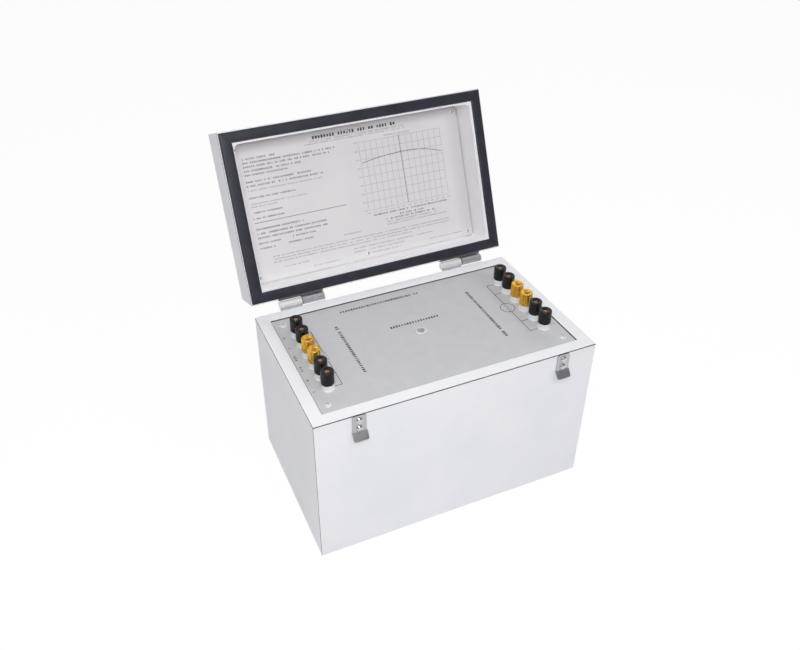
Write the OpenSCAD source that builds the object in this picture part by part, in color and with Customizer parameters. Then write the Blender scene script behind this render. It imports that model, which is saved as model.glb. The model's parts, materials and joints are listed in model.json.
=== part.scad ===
// Bench standard resistor in a laminated plywood case with a lift-off lid.
// Millimetres. +X is right, -Y is the front with the keepers, +Z is up.
// The origin is the centre of the base. The lid is drawn closed and then opened.

/* [Case] */
// Outer width of the case and the lid, left to right
case_w = 318; // [290:1:350]
// Outer depth of the case and the lid, front to back
case_d = 193; // [175:1:220]
// Height of the case, from the table to its rim
case_h = 186; // [175:1:210]
// Thickness of the plywood walls, base and lid board
wall_t = 12.7; // [11:0.1:14]
// Thickness of the plastic laminate sheets
laminate_t = 1.3; // [0.8:0.1:2]

/* [Lid] */
// Height of the closed lid, from its rim to its top
lid_h = 51; // [46:1:60]
// Gap between the case rim and the rim of the closed lid
lid_gap = 1.9; // [1.7:0.1:2.6]
// Angle from closed at which the lid stands open
lid_open = 112.8; // [95:0.1:120]
// Thickness of the moulded lining of the lid
liner_t = 1.2; // [0.8:0.1:2]
// Corner radius of the lining, on its inside
liner_r = 6.4; // [3:0.1:12]
// Width of the gasket strip
gasket_w = 11; // [8:0.5:12]
// Thickness of the gasket strip
gasket_t = 1.5; // [1:0.1:1.6]
// Distance of the gasket from the outer edge of the lid
gasket_inset = 1.4; // [1:0.1:2.5]
// Thickness of the instruction plate inside the lid
label_t = 0.6; // [0.4:0.1:1.5]
// Distance of the plate's screws from the walls of the lining
label_screw_inset = 7; // [5:0.5:12]

/* [Hinges] */
// Distance of the left hinge's middle from the case's left side
hinge_left_in = 58; // [45:1:75]
// Distance of the right hinge's middle from the case's right side
hinge_right_in = 55; // [45:1:75]
// Width of a hinge, both knuckles together
hinge_w = 53.5; // [40:0.5:70]
// Height of a hinge leaf's flat plate
leaf_h = 34; // [28:1:38]
// Thickness of the hinge leaves
leaf_t = 1.6; // [1.2:0.1:2]
// Radius of the hinge pins
hinge_pin_r = 2.5; // [2:0.1:3]
// Distance of the hinge axis behind the back face
hinge_back = 7.1; // [6.6:0.1:9]
// Height of the hinge axis above the case rim
hinge_up = 2.7; // [2:0.1:4]
// Thickness of the washer between two knuckles
washer_t = 1; // [0.5:0.1:1.5]

/* [Panel] */
// Thickness of the metal top panel
panel_t = 3; // [2:0.5:5]
// Depth of the panel's face below the case rim
panel_recess = 1; // [0.5:0.1:2]
// Gap between the panel's edge and the walls
panel_gap = 0.6; // [0.3:0.1:1.5]
// Distance of the panel screws from the left and right walls
panel_screw_x = 10.4; // [8:0.1:14]
// Distance of the panel screws from the front and back walls
panel_screw_y = 11.7; // [8:0.1:14]
// Radius of the panel screws' heads
panel_screw_r = 4.2; // [3.5:0.1:5]

/* [Binding posts] */
// Posts in each of the two rows
post_n = 6; // [6:1:6]
// Distance between neighbouring posts
post_pitch = 19.05; // [18:0.05:21]
// Distance of each row from its side of the case
post_in = 33.2; // [32:0.1:48]
// Radius of a cap
cap_r = 6.9; // [6:0.1:8]
// Height of a cap
cap_h = 15.2; // [13:0.1:18]
// Flutes around a cap
cap_flutes = 20; // [12:1:24]
// Height of the insulating collar on the panel
collar_h = 5.9; // [4:0.1:8]
// Thickness of the stud's clamping flange
flange_t = 1.2; // [0.8:0.1:2]
// Radius of the threaded stud
stud_r = 3.15; // [3:0.05:3.5]
// Radius of the plug socket in the stud
socket_r = 2; // [1.9:0.05:2.1]
// Depth of the plug socket
socket_depth = 11; // [9:0.5:11]
// Radius of the cross hole for a bare wire
wire_hole_r = 1.1; // [0.8:0.1:1.3]

/* [Thermometer well] */
// Radius of the well's bore
well_r = 4; // [3:0.1:5]
// Depth of the well's bore
well_depth = 110; // [95:1:115]
// Radius of the well's flange on the panel
well_flange_r = 7.2; // [6.5:0.1:9]

/* [Keepers] */
// Distance of the left keeper's middle from the case's left side
keeper_left_in = 46.5; // [34:0.5:69]
// Distance of the right keeper's middle from the case's right side
keeper_right_in = 40; // [34:0.5:69]
// Width of a keeper plate
keeper_w = 14.8; // [12:0.1:18]
// Height of a keeper plate
keeper_h = 22; // [19:0.5:26]
// Thickness of the keeper's sheet metal
keeper_t = 1.2; // [1:0.1:1.4]
// Distance of the keeper below the case rim
keeper_drop = 1; // [0.5:0.1:3]
// How far the keeper's hook stands out
hook_out = 6.4; // [5:0.1:8]
// How far the keeper's hook runs down
hook_down = 7.5; // [6:0.1:9]

/* [Inside] */
// Radius of the sealed can
can_r = 52; // [44:1:58]
// Height of the sealed can
can_h = 95; // [85:1:100]
// Wall of the sealed can
can_t = 1.2; // [0.8:0.1:2]
// Thickness of the insulation under the can
foam_floor = 28; // [20:1:30]
// Radius of the resistance bobbin
bobbin_r = 34; // [26:1:38]
// Height of the resistance bobbin
bobbin_h = 60; // [45:1:62]
// Length of the temperature sensor
sensor_l = 40; // [25:1:50]

/* [Hidden] */
$fn = 48;

// Clearance of a running fit, on the radius, and of a drilled hole around its screw
run = 0.05;
drill = 0.15;
// Amount by which a cutting shape passes the face that it cuts
over = 1;

// Inner half sizes of the case, and the levels that the pieces share
inner_x = case_w / 2 - laminate_t - wall_t;
inner_y = case_d / 2 - laminate_t - wall_t;
wall_top = case_h - laminate_t;
post_x = case_w / 2 - post_in;
post_end_y = (post_n - 1) / 2 * post_pitch;
hinge_left_x = case_w / 2 - hinge_left_in;
hinge_right_x = case_w / 2 - hinge_right_in;
keeper_left_x = case_w / 2 - keeper_left_in;
keeper_right_x = case_w / 2 - keeper_right_in;
panel_top = case_h - panel_recess;
panel_low = panel_top - panel_t;
lid_z = case_h + lid_gap;
axis_y = case_d / 2 + hinge_back;
axis_z = case_h + hinge_up;

// Binding posts, measured up from the panel's face
flange_top = collar_h + flange_t;
cap_top = flange_top + cap_h;
stud_sink = 1;
stud_top = cap_top - stud_sink;
spigot_t = 1.3;
spigot_r = stud_r + spigot_t;
washer_r = 5.6;
washer_h = 1.6;
nut_af = 9.6;
nut_h = 4.5;
stud_low = 14;

// Hinge leaves, in a side view with the hinge axis at 0,0
knuckle_r = hinge_pin_r + leaf_t;
knuckle_l = (hinge_w - washer_t) / 2;
leaf_top = -10;
leaf_screw_r = 1.9;
leaf_head_r = 3.5;
leaf_head_h = 1.7;
leaf_screw_l = wall_t - 1.5;
leaf_screws = [for (x = [-1, 1], z = [0.2, 0.64]) [x * hinge_w * 0.34, leaf_top - leaf_h * z]];

// Keepers
hook_lip = 0.7;
hook_w = keeper_w + 2 * hook_lip;
hook_corner = 2.2;
rivet_r = 2.9;
rivet_h = 1.6;
rivet_shank = 1.6;
rivet_short = 2;
keeper_rivets_s = [5.2, 15.6];

// Inside
can_z = wall_t + foam_floor;
can_top = can_z + can_h;
foam_cover = 6;
foam_top = can_top + foam_cover;
foam_gap = 0.3;
seal_t = 2;
seal_lip = 1.9;
terminal_n = 6;
terminal_x = can_r * 0.62;
bead_r = 3;
bead_h = 2.4;
terminal_r = 0.8;
terminal_h = 6;
core_r = bobbin_r - 6;
flange_n = 5;
bobbin_flange_t = 2.5;
bobbin_pitch = (bobbin_h - bobbin_flange_t) / (flange_n - 1);
winding_sink = 1.5;
sensor_r = 3;
sensor_gap = 2;
support_w = 9;
support_h = 14;
support_gap = 6;
block_w = 22;
block_d = inner_y - post_end_y - washer_r - support_gap;
sleeve_t = 1.2;
sleeve_r = well_r + sleeve_t;
well_flange_h = 1.5;
well_bevel = 0.8;
label_inset = 0.4;

// Round-headed screws of the panel and of the instruction plate
panel_screw_h = 2.2;
panel_shank_r = 1.7;
panel_screw_l = 18;
recess_l = 4.6;
recess_w = 0.9;
recess_d = 1.9;
label_screw_r = 2.8;
label_screw_h = 1.3;
label_shank_r = 1.4;
cavity_x = inner_x - liner_t;
cavity_y = inner_y - liner_t;
lining_depth = lid_h - laminate_t - wall_t;
rail_h = lining_depth - laminate_t;
rail_mid = (lining_depth + laminate_t) / 2;

// Extrudes a side view, drawn as (y, z), along the X axis about x = 0
module along_x(length) {
    rotate([90, 0, 90]) linear_extrude(length, center = true) children();
}

// A box from its lowest corner to its highest corner
module block(low, high) {
    translate(low) cube(high - low);
}

// A round head on a straight shank that points down from z = 0
module dome_screw(head_r, head_h, shank_r, shank_l) {
    ball = (head_r * head_r + head_h * head_h) / (2 * head_h);
    intersection() {
        translate([0, 0, head_h - ball]) sphere(ball);
        cylinder(h = head_h, r = head_r);
    }
    translate([0, 0, -shank_l]) cylinder(h = shank_l + head_h / 2, r = shank_r);
}

// Places children on every binding post, at the panel's face
module at_posts() {
    for (side = [-1, 1], i = [1 : post_n]) at_post(side, i) children();
}

module at_post(side, i) {
    translate([side * post_x, ((post_n + 1) / 2 - i) * post_pitch, panel_top]) children();
}

module at_panel_screws() {
    for (sx = [-1, 1], sy = [-1, 1])
        translate([sx * (inner_x - panel_screw_x), sy * (inner_y - panel_screw_y), panel_top])
            children();
}

// Turns the closed lid's pieces about the hinge axis to the open position
module opened() {
    translate([0, axis_y, axis_z]) rotate([-lid_open, 0, 0]) translate([0, -axis_y, -axis_z])
        children();
}

module at_hinges() {
    for (x = [-hinge_left_x, hinge_right_x]) translate([x, axis_y, axis_z]) children();
}

// Screw places of a hinge leaf on the case; the lid's leaf mirrors them
module at_leaf_screws() {
    for (p = leaf_screws) translate([p[0], leaf_t - hinge_back, p[1]]) rotate([-90, 0, 0]) children();
}

module leaf_screw_holes() {
    at_leaf_screws() translate([0, 0, -leaf_screw_l - leaf_t - drill])
        cylinder(h = leaf_screw_l + 2 * leaf_t + over, r = leaf_screw_r + drill);
}

// Mirrors a case leaf's shapes into those of the closed lid
module mirrored_to_lid() {
    mirror([0, 0, 1]) children();
}

module on_case_front(x) {
    translate([x, -case_d / 2, case_h]) children();
}

module at_keepers() {
    on_case_front(-keeper_left_x) children();
    on_case_front(keeper_right_x) children();
}

module keeper_rivet_places() {
    for (s = keeper_rivets_s) translate([0, -keeper_t, -keeper_drop - s]) rotate([90, 0, 0]) children();
}

module keeper_rivet_holes() {
    at_keepers() keeper_rivet_places()
        translate([0, 0, -wall_t]) cylinder(h = wall_t + over, r = rivet_shank + drill);
}

module case_leaf_holes() {
    at_hinges() leaf_screw_holes();
}

module lid_leaf_holes() {
    at_hinges() mirrored_to_lid() leaf_screw_holes();
}

// Case: the end walls stand between the front and back walls
module front_wall() {
    color("BurlyWood") difference() {
        block([-inner_x - wall_t, -inner_y - wall_t, 0], [inner_x + wall_t, -inner_y, wall_top]);
        keeper_rivet_holes();
    }
}

module back_wall() {
    color("BurlyWood") difference() {
        block([-inner_x - wall_t, inner_y, 0], [inner_x + wall_t, inner_y + wall_t, wall_top]);
        case_leaf_holes();
    }
}

module end_walls() {
    color("BurlyWood") for (s = [-1, 1])
        translate([s * (inner_x + wall_t / 2), 0, wall_top / 2])
            cube([wall_t, 2 * inner_y, wall_top], center = true);
}

module base_board() {
    color("BurlyWood") block([-inner_x, -inner_y, 0], [inner_x, inner_y, wall_t]);
}

// Laminate: the front sheet laps over the ends', theirs over the back one, and the rim's over all
module front_laminate() {
    color("WhiteSmoke") difference() {
        block([-case_w / 2, -case_d / 2, 0], [case_w / 2, laminate_t - case_d / 2, wall_top]);
        keeper_rivet_holes();
    }
}

module back_laminate() {
    color("WhiteSmoke") difference() {
        block([laminate_t - case_w / 2, case_d / 2 - laminate_t, 0],
            [case_w / 2 - laminate_t, case_d / 2, wall_top]);
        case_leaf_holes();
    }
}

module end_laminates() {
    color("WhiteSmoke") for (s = [-1, 1])
        translate([s * (case_w - laminate_t) / 2, laminate_t / 2, wall_top / 2])
            cube([laminate_t, case_d - laminate_t, wall_top], center = true);
}

module rim_laminate() {
    color("White") translate([0, 0, wall_top]) linear_extrude(laminate_t) difference() {
        square([case_w, case_d], center = true);
        square([2 * inner_x, 2 * inner_y], center = true);
    }
}

// Battens along the front and back walls, and a block in each corner for the panel's screws
module panel_supports() {
    color("Tan") difference() {
        union() {
            for (sy = [-1, 1]) {
                translate([0, sy * (inner_y - support_w / 2), panel_low - support_h / 2])
                    cube([2 * (inner_x - block_w), support_w, support_h], center = true);
                for (sx = [-1, 1])
                    translate([sx * (inner_x - block_w / 2), sy * (inner_y - block_d / 2),
                        panel_low - block_w / 2]) cube([block_w, block_d, block_w], center = true);
            }
        }
        at_panel_screws() translate([0, 0, -block_w]) cylinder(h = block_w, r = panel_shank_r + drill);
    }
}

module top_panel() {
    color("Silver") difference() {
        translate([0, 0, panel_low]) linear_extrude(panel_t)
            square(2 * [inner_x - panel_gap, inner_y - panel_gap], center = true);
        at_posts() translate([0, 0, -panel_t - over])
            cylinder(h = panel_t + 2 * over, r = spigot_r + drill);
        at_panel_screws() translate([0, 0, -panel_t - over])
            cylinder(h = panel_t + 2 * over, r = panel_shank_r + 2 * drill);
        translate([0, 0, panel_low - over]) cylinder(h = panel_t + 2 * over, r = sleeve_r + drill);
    }
}

module panel_screws() {
    color("Gainsboro") at_panel_screws() difference() {
        dome_screw(panel_screw_r, panel_screw_h, panel_shank_r, panel_screw_l);
        translate([0, 0, panel_screw_h]) {
            cube([recess_l, recess_w, 2 * recess_d], center = true);
            cube([recess_w, recess_l, 2 * recess_d], center = true);
        }
    }
}

// Binding posts
module post_collars() {
    color("Snow") at_posts() rotate_extrude() polygon([
        [stud_r + run, -panel_t], [spigot_r, -panel_t], [spigot_r, 0], [cap_r + 0.3, 0],
        [cap_r + 0.3, 1], [cap_r - 0.3, 1.6], [cap_r - 0.3, collar_h], [stud_r + run, collar_h]]);
}

module post_studs() {
    color("Gold") at_posts() difference() {
        union() {
            translate([0, 0, -panel_t - stud_low]) cylinder(h = stud_top + panel_t + stud_low, r = stud_r);
            translate([0, 0, collar_h]) cylinder(h = flange_t, r = cap_r - 0.9);
        }
        translate([0, 0, stud_top - socket_depth]) cylinder(h = socket_depth + over, r = socket_r);
        translate([0, 0, flange_top + wire_hole_r + 0.2]) rotate([90, 0, 0])
            cylinder(h = 4 * stud_r, r = wire_hole_r, center = true);
    }
}

module post_washers() {
    color("Snow") at_posts() translate([0, 0, -panel_t - washer_h]) difference() {
        cylinder(h = washer_h, r = washer_r);
        translate([0, 0, -over]) cylinder(h = washer_h + 2 * over, r = stud_r + run);
    }
}

module post_nuts() {
    color("Goldenrod") at_posts() translate([0, 0, -panel_t - washer_h - nut_h]) difference() {
        cylinder(h = nut_h, r = nut_af / sqrt(3), $fn = 6);
        translate([0, 0, -over]) cylinder(h = nut_h + 2 * over, r = stud_r + run);
    }
}

// The outline of a fluted cap, seen from above
module cap_outline() {
    flute_r = PI * cap_r / cap_flutes * 0.36;
    difference() {
        circle(cap_r);
        for (i = [0 : cap_flutes - 1]) rotate(i * 360 / cap_flutes) translate([cap_r + 0.15, 0])
            circle(flute_r, $fn = 16);
    }
}

module post_cap(side, i) {
    tint = (i == 3 || i == 4) ? "Gold" : "DimGray";
    color(tint) at_post(side, i) translate([0, 0, flange_top]) difference() {
        intersection() {
            linear_extrude(cap_h) cap_outline();
            rotate_extrude() polygon([[0, 0], [cap_r - 0.5, 0], [cap_r, 0.5], [cap_r, cap_h - 1.1],
                [cap_r - 1.1, cap_h], [0, cap_h]]);
        }
        translate([0, 0, -over]) cylinder(h = cap_h + 2 * over, r = stud_r + run);
        translate([0, 0, cap_h - 2.2]) rotate_extrude() polygon([[0, 0], [stud_r + run, 0],
            [cap_r - 2.1, 2.2], [cap_r - 2.1, 2.2 + over], [0, 2.2 + over]]);
    }
}

// Thermometer well: a closed tube with a flange, held by a nut under the panel
module thermometer_well() {
    color("Silver") translate([0, 0, panel_top]) difference() {
        union() {
            rotate_extrude() polygon([[0, 0], [well_flange_r, 0],
                [well_flange_r, well_flange_h - well_bevel],
                [well_flange_r - well_bevel, well_flange_h], [0, well_flange_h]]);
            translate([0, 0, -well_depth - 1]) cylinder(h = well_depth + 1, r = sleeve_r);
        }
        translate([0, 0, -well_depth]) cylinder(h = well_depth + well_flange_h + over, r = well_r);
    }
}

module well_nut() {
    color("Goldenrod") translate([0, 0, panel_low - nut_h]) difference() {
        cylinder(h = nut_h, r = well_flange_r * 2 / sqrt(3), $fn = 6);
        translate([0, 0, -over]) cylinder(h = nut_h + 2 * over, r = sleeve_r + run);
    }
}

// Inside: the resistance element in a sealed can, bedded in insulation
module insulation_block() {
    color("Khaki") difference() {
        block([foam_gap - inner_x, foam_gap - inner_y, wall_t],
            [inner_x - foam_gap, inner_y - foam_gap, foam_top]);
        translate([0, 0, can_z]) cylinder(h = foam_top, r = can_r + seal_lip + foam_gap, $fn = 96);
    }
}

module sealed_can() {
    color("LightSteelBlue") translate([0, 0, can_z]) difference() {
        union() {
            cylinder(h = can_h - seal_t, r = can_r, $fn = 96);
            translate([0, 0, can_h - seal_t - can_t])
                cylinder(h = can_t, r = can_r + seal_lip, $fn = 96);
        }
        translate([0, 0, can_t]) cylinder(h = can_h, r = can_r - can_t, $fn = 96);
    }
}

module can_cover() {
    color("LightSteelBlue") translate([0, 0, can_z + can_h - seal_t]) difference() {
        union() {
            cylinder(h = seal_t, r = can_r + seal_lip, $fn = 96);
            for (i = [0 : terminal_n - 1]) rotate((i + 0.5) * 360 / terminal_n)
                translate([terminal_x, 0, seal_t]) {
                    cylinder(h = bead_h, r = bead_r);
                    cylinder(h = terminal_h, r = terminal_r);
                }
        }
        translate([0, 0, -over]) cylinder(h = seal_t + 2 * over, r = sleeve_r + run);
    }
}

module resistor_bobbin() {
    color("Ivory") translate([0, 0, can_z + can_t]) difference() {
        union() {
            cylinder(h = bobbin_h, r = core_r, $fn = 96);
            for (k = [0 : flange_n - 1]) translate([0, 0, k * bobbin_pitch])
                cylinder(h = bobbin_flange_t, r = bobbin_r, $fn = 96);
        }
        translate([0, 0, -over]) cylinder(h = bobbin_h + 2 * over, r = sleeve_r + sleeve_t);
    }
}

module resistance_winding() {
    color("Peru") for (k = [0 : flange_n - 2])
        translate([0, 0, can_z + can_t + k * bobbin_pitch + bobbin_flange_t]) difference() {
            cylinder(h = bobbin_pitch - bobbin_flange_t, r = bobbin_r - winding_sink, $fn = 96);
            translate([0, 0, -over]) cylinder(h = bobbin_pitch + over, r = core_r + run, $fn = 96);
        }
}

module temperature_sensor() {
    color("DarkRed") translate([bobbin_r + sensor_gap + sensor_r, 0, can_z + can_t])
        cylinder(h = sensor_l, r = sensor_r);
}

// Keepers: a riveted plate whose lower end is bent out into a hook
module latch_keepers() {
    bend = keeper_drop + keeper_h;
    run_out = norm([hook_out, hook_down]);
    lap = keeper_t * (run_out - hook_down) / hook_out;
    color("Silver") at_keepers() difference() {
        union() {
            along_x(keeper_w) polygon([[0, -keeper_drop], [-keeper_t, -keeper_drop],
                [-keeper_t, -bend + lap], [0, -bend]]);
            intersection() {
                along_x(hook_w) polygon([[0, -bend], [-keeper_t, -bend + lap],
                    [-hook_out - keeper_t * hook_down / run_out,
                        -bend - hook_down + keeper_t * hook_out / run_out],
                    [-hook_out, -bend - hook_down]]);
                translate([0, 0, -bend - hook_down]) rotate([90, 0, 0])
                    linear_extrude(2 * (hook_out + keeper_t), center = true) hook_outline();
            }
        }
        keeper_rivet_places() translate([0, 0, -keeper_t - over])
            cylinder(h = keeper_t + 2 * over, r = rivet_shank + drill);
    }
}

// The hook seen from the front, with its lower corners rounded
module hook_outline() {
    for (s = [-1, 1]) translate([s * (hook_w / 2 - hook_corner), hook_corner]) circle(hook_corner);
    translate([-hook_w / 2, hook_corner]) square([hook_w, 2 * hook_down]);
    translate([hook_corner - hook_w / 2, 0]) square([hook_w - 2 * hook_corner, hook_corner + over]);
}

module keeper_rivets() {
    color("WhiteSmoke") at_keepers() keeper_rivet_places()
        dome_screw(rivet_r, rivet_h, rivet_shank, wall_t - rivet_short);
}

// Side view of a hinge leaf on the case: its plate, and the strap that rolls into the knuckle
module leaf_plate_view() {
    translate([-hinge_back, leaf_top - leaf_h]) square([leaf_t, leaf_h]);
}

module knuckle_view() {
    difference() {
        union() {
            circle(knuckle_r);
            polygon([[-hinge_back, leaf_top], [-hinge_back, leaf_top + 1], [-knuckle_r, -3.4],
                [-knuckle_r, 0], [-hinge_pin_r, 0], [-hinge_pin_r, -4], [leaf_t - hinge_back, leaf_top]]);
        }
        circle(hinge_pin_r + run);
    }
}

// Hinge leaf with its knuckle on the side given: -1 is left and 1 is right
module hinge_leaf(side) {
    difference() {
        union() {
            along_x(hinge_w) leaf_plate_view();
            translate([side * (hinge_w - knuckle_l) / 2, 0, 0]) along_x(knuckle_l) knuckle_view();
        }
        leaf_screw_holes();
    }
}

module case_hinge_leaves() {
    color("Silver") at_hinges() hinge_leaf(-1);
}

// Fixed in the case's knuckles, so that the lid lifts off them to the right
module hinge_pins() {
    color("LightGray") at_hinges() translate([-hinge_w / 2, 0, 0]) rotate([0, 90, 0])
        cylinder(h = hinge_w - 1, r = hinge_pin_r);
}

module case_hinge_screws() {
    color("WhiteSmoke") at_hinges() at_leaf_screws()
        dome_screw(leaf_head_r, leaf_head_h, leaf_screw_r, leaf_screw_l);
}

module hinge_washers() {
    color("DarkKhaki") at_hinges() rotate([0, 90, 0]) difference() {
        cylinder(h = washer_t - 0.1, r = knuckle_r, center = true);
        cylinder(h = washer_t + over, r = hinge_pin_r + run, center = true);
    }
}

// Lid, drawn closed inside opened()
module lid_board() {
    color("BurlyWood") opened()
        translate([0, 0, lid_z + lid_h - laminate_t - wall_t / 2])
            cube([2 * (inner_x + wall_t), 2 * (inner_y + wall_t), wall_t], center = true);
}

module lid_long_rails() {
    color("BurlyWood") opened() difference() {
        for (s = [-1, 1]) translate([0, s * (inner_y + wall_t / 2), lid_z + rail_mid])
            cube([2 * (inner_x + wall_t), wall_t, rail_h], center = true);
        lid_leaf_holes();
    }
}

module lid_end_rails() {
    color("BurlyWood") opened() for (s = [-1, 1])
        translate([s * (inner_x + wall_t / 2), 0, lid_z + rail_mid])
            cube([wall_t, 2 * inner_y, rail_h], center = true);
}

module lid_top_laminate() {
    color("WhiteSmoke") opened() translate([0, 0, lid_z + lid_h - laminate_t / 2])
        cube([case_w - 2 * laminate_t, case_d - 2 * laminate_t, laminate_t], center = true);
}

// Four sheets around the lid, which cover the top sheet's edges; the ends' lap over the others
module lid_side_laminates() {
    color("WhiteSmoke") opened() difference() {
        translate([0, 0, lid_z + (lid_h + laminate_t) / 2]) for (s = [-1, 1]) {
            translate([0, s * (case_d - laminate_t) / 2, 0])
                cube([case_w - 2 * laminate_t, laminate_t, lid_h - laminate_t], center = true);
            translate([s * (case_w - laminate_t) / 2, 0, 0])
                cube([laminate_t, case_d, lid_h - laminate_t], center = true);
        }
        lid_leaf_holes();
    }
}

// The lining's plan, shrunk by an amount on every side
module lining_plan(shrink) {
    radius = liner_r + liner_t - shrink;
    for (sx = [-1, 1], sy = [-1, 1])
        translate([sx * (inner_x - shrink - radius), sy * (inner_y - shrink - radius)]) circle(radius);
    square(2 * [inner_x - shrink - radius, inner_y - shrink], center = true);
    square(2 * [inner_x - shrink, inner_y - shrink - radius], center = true);
}

// Lies on the rails and on the edges of the sheets around the lid
module lid_rim_laminate() {
    color("White") opened() translate([0, 0, lid_z]) linear_extrude(laminate_t) difference() {
        square([case_w, case_d], center = true);
        lining_plan(0);
    }
}

// A moulded tray whose edge ends level with the rim
module lid_liner() {
    color("White") opened() translate([0, 0, lid_z]) difference() {
        linear_extrude(lining_depth) lining_plan(0);
        translate([0, 0, -over]) linear_extrude(lining_depth - liner_t + over) lining_plan(liner_t);
        label_screw_places() translate([0, 0, -over])
            cylinder(h = 2 * liner_t + 2 * over, r = label_shank_r + drill);
    }
}

// A mitred strip with bevelled edges around the lid's rim
module gasket() {
    outer = [case_w, case_d] - 2 * gasket_inset * [1, 1];
    inner = outer - 2 * gasket_w * [1, 1];
    bevel = 0.9;
    skin = 0.01;
    color("DarkSlateGray") opened() translate([0, 0, lid_z - gasket_t]) difference() {
        hull() {
            translate([0, 0, gasket_t - skin / 2]) cube([outer[0], outer[1], skin], center = true);
            translate([0, 0, skin / 2])
                cube([outer[0] - 2 * bevel, outer[1] - 2 * bevel, skin], center = true);
        }
        hull() {
            translate([0, 0, gasket_t + over]) cube([inner[0], inner[1], skin], center = true);
            translate([0, 0, -over]) cube([inner[0] + 2 * bevel, inner[1] + 2 * bevel, skin], center = true);
        }
    }
}

// Screw places of the instruction plate, on the lining's ceiling
module label_screw_places() {
    for (sx = [-1, 0, 1], sy = [-1, 1])
        translate([sx * (cavity_x - label_screw_inset), sy * (cavity_y - label_screw_inset),
            lining_depth - liner_t - label_t]) children();
}

module label_plate() {
    color("LavenderBlush") opened() translate([0, 0, lid_z]) difference() {
        translate([0, 0, lining_depth - liner_t - label_t]) linear_extrude(label_t)
            lining_plan(liner_t + label_inset);
        label_screw_places() translate([0, 0, -over])
            cylinder(h = label_t + 2 * over, r = label_shank_r + drill);
    }
}

module label_screws() {
    color("Gainsboro") opened() translate([0, 0, lid_z]) label_screw_places() mirror([0, 0, 1])
        dome_screw(label_screw_r, label_screw_h, label_shank_r, label_t + liner_t);
}

module lid_hinge_leaves() {
    color("Silver") opened() at_hinges() mirrored_to_lid() hinge_leaf(1);
}

module lid_hinge_screws() {
    color("WhiteSmoke") opened() at_hinges() mirrored_to_lid() at_leaf_screws()
        dome_screw(leaf_head_r, leaf_head_h, leaf_screw_r, leaf_screw_l);
}

front_wall();
back_wall();
end_walls();
base_board();
front_laminate();
back_laminate();
end_laminates();
rim_laminate();
panel_supports();
top_panel();
panel_screws();
post_collars();
post_studs();
post_washers();
post_nuts();
thermometer_well();
well_nut();
insulation_block();
sealed_can();
can_cover();
resistor_bobbin();
resistance_winding();
temperature_sensor();
latch_keepers();
keeper_rivets();
case_hinge_leaves();
hinge_pins();
case_hinge_screws();
hinge_washers();
for (i = [1 : post_n]) {
    post_cap(-1, i);
    post_cap(1, i);
}
lid_board();
lid_long_rails();
lid_end_rails();
lid_top_laminate();
lid_side_laminates();
lid_rim_laminate();
lid_liner();
gasket();
label_plate();
label_screws();
lid_hinge_leaves();
lid_hinge_screws();
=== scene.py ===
"""Looks of the bench standard resistor: a white laminated case, open, with its printed panel and lid.

Sizes are in millimetres until mm() turns them to metres. Pieces of the lid are made in the closed
lid's place, and LID then turns them to where the lid stands open.
"""

import json
import math

import bmesh
import bpy
from mathutils import Matrix, Vector


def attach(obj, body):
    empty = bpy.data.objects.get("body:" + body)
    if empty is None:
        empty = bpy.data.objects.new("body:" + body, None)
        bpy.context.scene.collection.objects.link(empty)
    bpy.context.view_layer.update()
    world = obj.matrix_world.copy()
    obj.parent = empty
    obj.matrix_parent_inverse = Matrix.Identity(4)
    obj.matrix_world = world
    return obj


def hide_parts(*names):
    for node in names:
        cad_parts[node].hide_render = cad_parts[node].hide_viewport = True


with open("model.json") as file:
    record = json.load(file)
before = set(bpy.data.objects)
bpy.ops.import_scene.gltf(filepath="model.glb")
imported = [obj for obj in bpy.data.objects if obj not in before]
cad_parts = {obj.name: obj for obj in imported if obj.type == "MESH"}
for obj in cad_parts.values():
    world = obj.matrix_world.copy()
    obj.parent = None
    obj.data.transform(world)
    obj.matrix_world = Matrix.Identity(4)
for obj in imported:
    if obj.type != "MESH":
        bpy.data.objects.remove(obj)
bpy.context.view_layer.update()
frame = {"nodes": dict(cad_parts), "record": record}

MM = 0.001

# Sizes repeated from the part's source, in millimetres
CASE_W = 318.0
CASE_D = 193.0
CASE_H = 186.0
LAMINATE = 1.3
LID_RIM = 187.9
LID_ANGLE = 112.8
HINGE_Y = 103.6
HINGE_Z = 188.7
PANEL_TOP = 185.0
PLATE_DEPTH = 34.4
GASKET_T = 1.6
POST_X = 125.8
POST_PITCH = 19.05
POST_COUNT = 6
GOLD_POSTS = (3, 4)
# From this height up to the case's top the wood is painted near black, as painted shade in the gap round the
# panel
SHADE_PAINT_FROM = 160.0

LID = (
    Matrix.Translation((0, HINGE_Y * MM, HINGE_Z * MM))
    @ Matrix.Rotation(math.radians(-LID_ANGLE), 4, "X")
    @ Matrix.Translation((0, -HINGE_Y * MM, -HINGE_Z * MM))
)
# The plate's print is drawn flat, with its top at the lid's free edge, and turned to face out
PLATE = LID @ Matrix.Translation((0, 0, (LID_RIM + PLATE_DEPTH) * MM)) @ Matrix.Rotation(math.pi, 4, "X")
PANEL = Matrix.Translation((0, 0, PANEL_TOP * MM))


def mm(*values):
    """Millimetres to metres, as a vector."""
    return Vector(values) * MM


def colour(code):
    """An sRGB hex value as linear red, green, blue and alpha."""
    parts = [int(code[i : i + 2], 16) / 255 for i in (1, 3, 5)]
    linear = [c / 12.92 if c <= 0.04045 else ((c + 0.055) / 1.055) ** 2.4 for c in parts]
    return (*linear, 1.0)


def add(tree, kind, inputs=None, **settings):
    """Adds a node. Inputs are given by name or number, as values or as the sockets that feed them."""
    made = tree.nodes.new(kind)
    for key, value in settings.items():
        setattr(made, key, value)
    for key, value in (inputs or {}).items():
        if isinstance(key, int):
            socket = made.inputs[key]
        else:
            socket = next(s for s in made.inputs if s.name == key and s.enabled)
        if isinstance(value, bpy.types.NodeSocket):
            tree.links.new(value, socket)
        else:
            socket.default_value = value
    return made


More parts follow.
